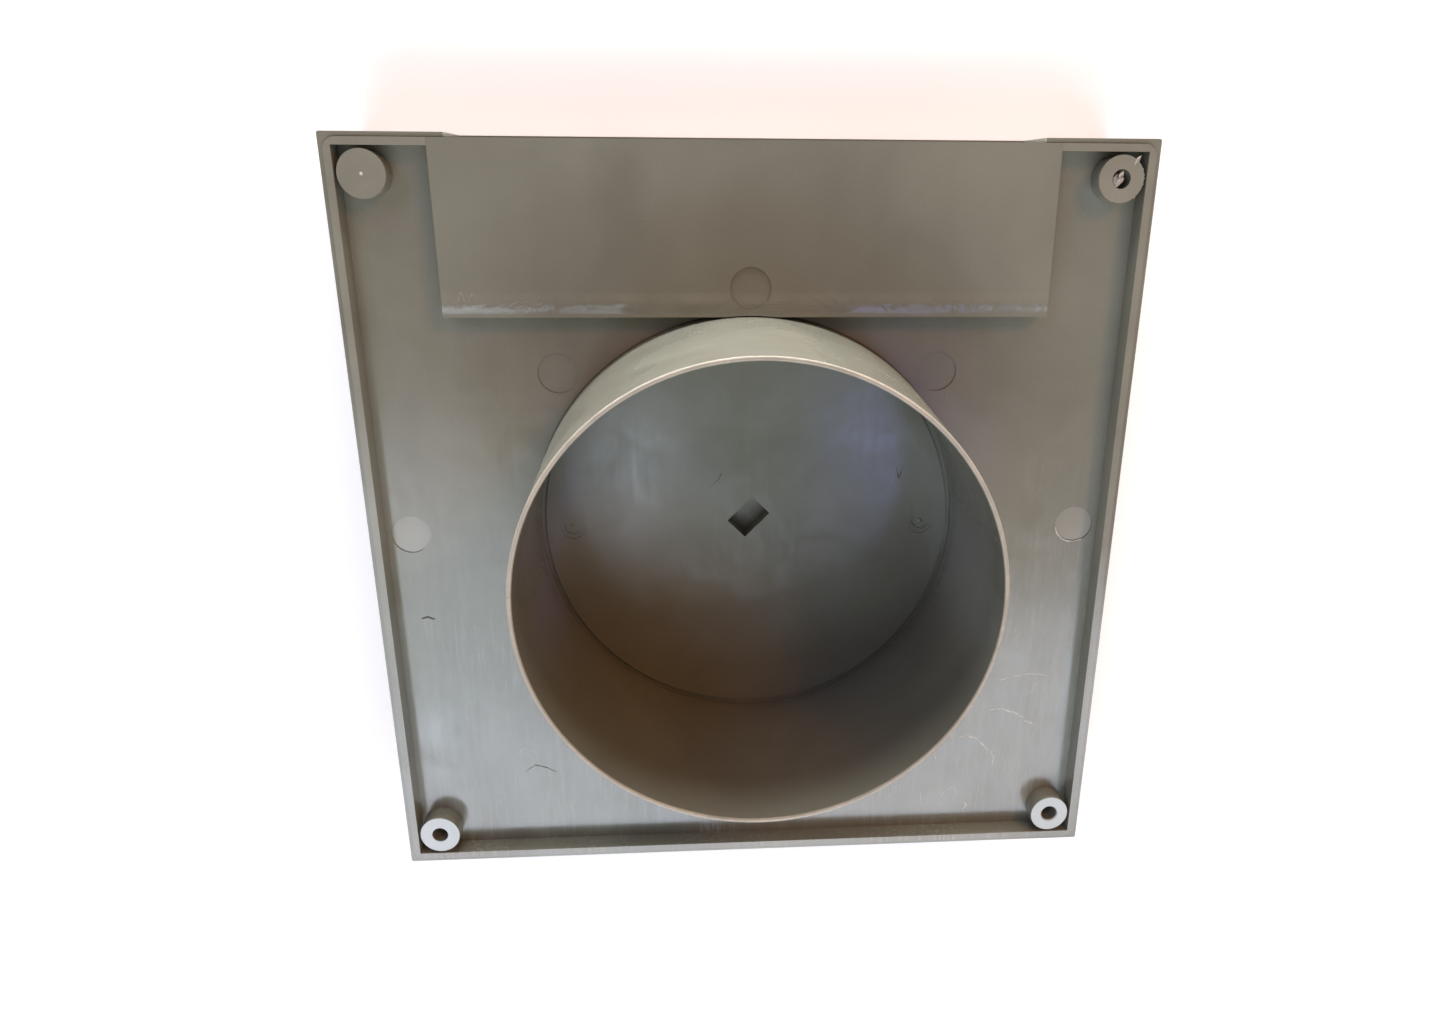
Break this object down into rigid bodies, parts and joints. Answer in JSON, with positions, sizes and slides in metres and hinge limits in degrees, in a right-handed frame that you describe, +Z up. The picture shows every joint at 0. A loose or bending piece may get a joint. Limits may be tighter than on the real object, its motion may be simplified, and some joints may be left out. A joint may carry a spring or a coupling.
{
  "type": "ceiling air diffuser",
  "caption": "Square low-profile ceiling air diffuser: round duct collar, screw-adjusted valve disc, one-way side outlet with linked steering vanes, clip-on tray.",
  "frame": {"origin": "on the duct axis, in the plane of the rim that lies against the ceiling", "axes": "+Z up along the duct axis into the duct, +Y towards the outlet side, +X to the right seen from above"},
  "size_m": [0.175, 0.175, 0.0733],
  "materials": {
    "housing_abs": "satin-gloss moulded ABS, warm grey",
    "inner_abs": "satin-gloss moulded ABS, warm grey",
    "seal_rubber": "matt black EPDM",
    "pin_steel": "ground stainless steel",
    "spring_steel": "oiled spring steel",
    "screw_zinc": "zinc-plated steel"
  },
  "bodies": {
    "housing": {"back_tray": "housing_abs", "outlet_pad": "housing_abs", "duct_collar": "housing_abs", "front_cover": "housing_abs", "vane_base": "inner_abs", "vane_rail": "inner_abs", "cassette_screws": "screw_zinc"},
    "valve": {"valve_disc": "inner_abs", "valve_seal": "seal_rubber", "guide_pins": "pin_steel"},
    "dial": {"dial": "housing_abs", "dial_snap_ring": "spring_steel", "dial_oring": "seal_rubber"},
    "link": {"vane_link": "inner_abs"},
    "vane_1": {"vane_1": "inner_abs"},
    "vane_2": {"vane_2": "inner_abs"},
    "vane_3": {"vane_3": "inner_abs"},
    "vane_4": {"vane_4": "inner_abs"},
    "vane_5": {"vane_5": "inner_abs"},
    "vane_6": {"vane_6": "inner_abs"},
    "vane_7": {"vane_7": "inner_abs"}
  },
  "joints": [
    {"name": "dial_turn", "type": "hinge", "parent": "housing", "child": "dial", "pos_m": [0, 0, -0.03], "axis": [0, 0, 1], "range_deg": [0, 450]},
    {"name": "valve_slide", "type": "slide", "parent": "housing", "child": "valve", "axis": [0, 0, 1], "range_m": [-0.005, 0]},
    {"name": "vane_4_swing", "type": "hinge", "parent": "housing", "child": "vane_4", "pos_m": [0, 0.071, -0.011], "axis": [0, 0, 1], "range_deg": [-35, 35]},
    {"name": "vane_1_swing", "type": "hinge", "parent": "housing", "child": "vane_1", "pos_m": [-0.048, 0.071, -0.011], "axis": [0, 0, 1], "range_deg": [-35, 35]},
    {"name": "vane_2_swing", "type": "hinge", "parent": "housing", "child": "vane_2", "pos_m": [-0.032, 0.071, -0.011], "axis": [0, 0, 1], "range_deg": [-35, 35]},
    {"name": "vane_3_swing", "type": "hinge", "parent": "housing", "child": "vane_3", "pos_m": [-0.016, 0.071, -0.011], "axis": [0, 0, 1], "range_deg": [-35, 35]},
    {"name": "vane_5_swing", "type": "hinge", "parent": "housing", "child": "vane_5", "pos_m": [0.016, 0.071, -0.011], "axis": [0, 0, 1], "range_deg": [-35, 35]},
    {"name": "vane_6_swing", "type": "hinge", "parent": "housing", "child": "vane_6", "pos_m": [0.032, 0.071, -0.011], "axis": [0, 0, 1], "range_deg": [-35, 35]},
    {"name": "vane_7_swing", "type": "hinge", "parent": "housing", "child": "vane_7", "pos_m": [0.048, 0.071, -0.011], "axis": [0, 0, 1], "range_deg": [-35, 35]},
    {"name": "link_pivot", "type": "hinge", "parent": "vane_4", "child": "link", "pos_m": [0, 0.062, -0.004], "axis": [0, 0, 1], "range_deg": [-35, 35]}
  ],
  "couplings": [
    {"joint": "valve_slide", "follows": "dial_turn", "m_per_rad": -0.00063662},
    {"joint": "vane_1_swing", "follows": "vane_4_swing", "ratio": 1},
    {"joint": "vane_2_swing", "follows": "vane_4_swing", "ratio": 1},
    {"joint": "vane_3_swing", "follows": "vane_4_swing", "ratio": 1},
    {"joint": "vane_5_swing", "follows": "vane_4_swing", "ratio": 1},
    {"joint": "vane_6_swing", "follows": "vane_4_swing", "ratio": 1},
    {"joint": "vane_7_swing", "follows": "vane_4_swing", "ratio": 1},
    {"joint": "link_pivot", "follows": "vane_4_swing", "ratio": -1}
  ]
}
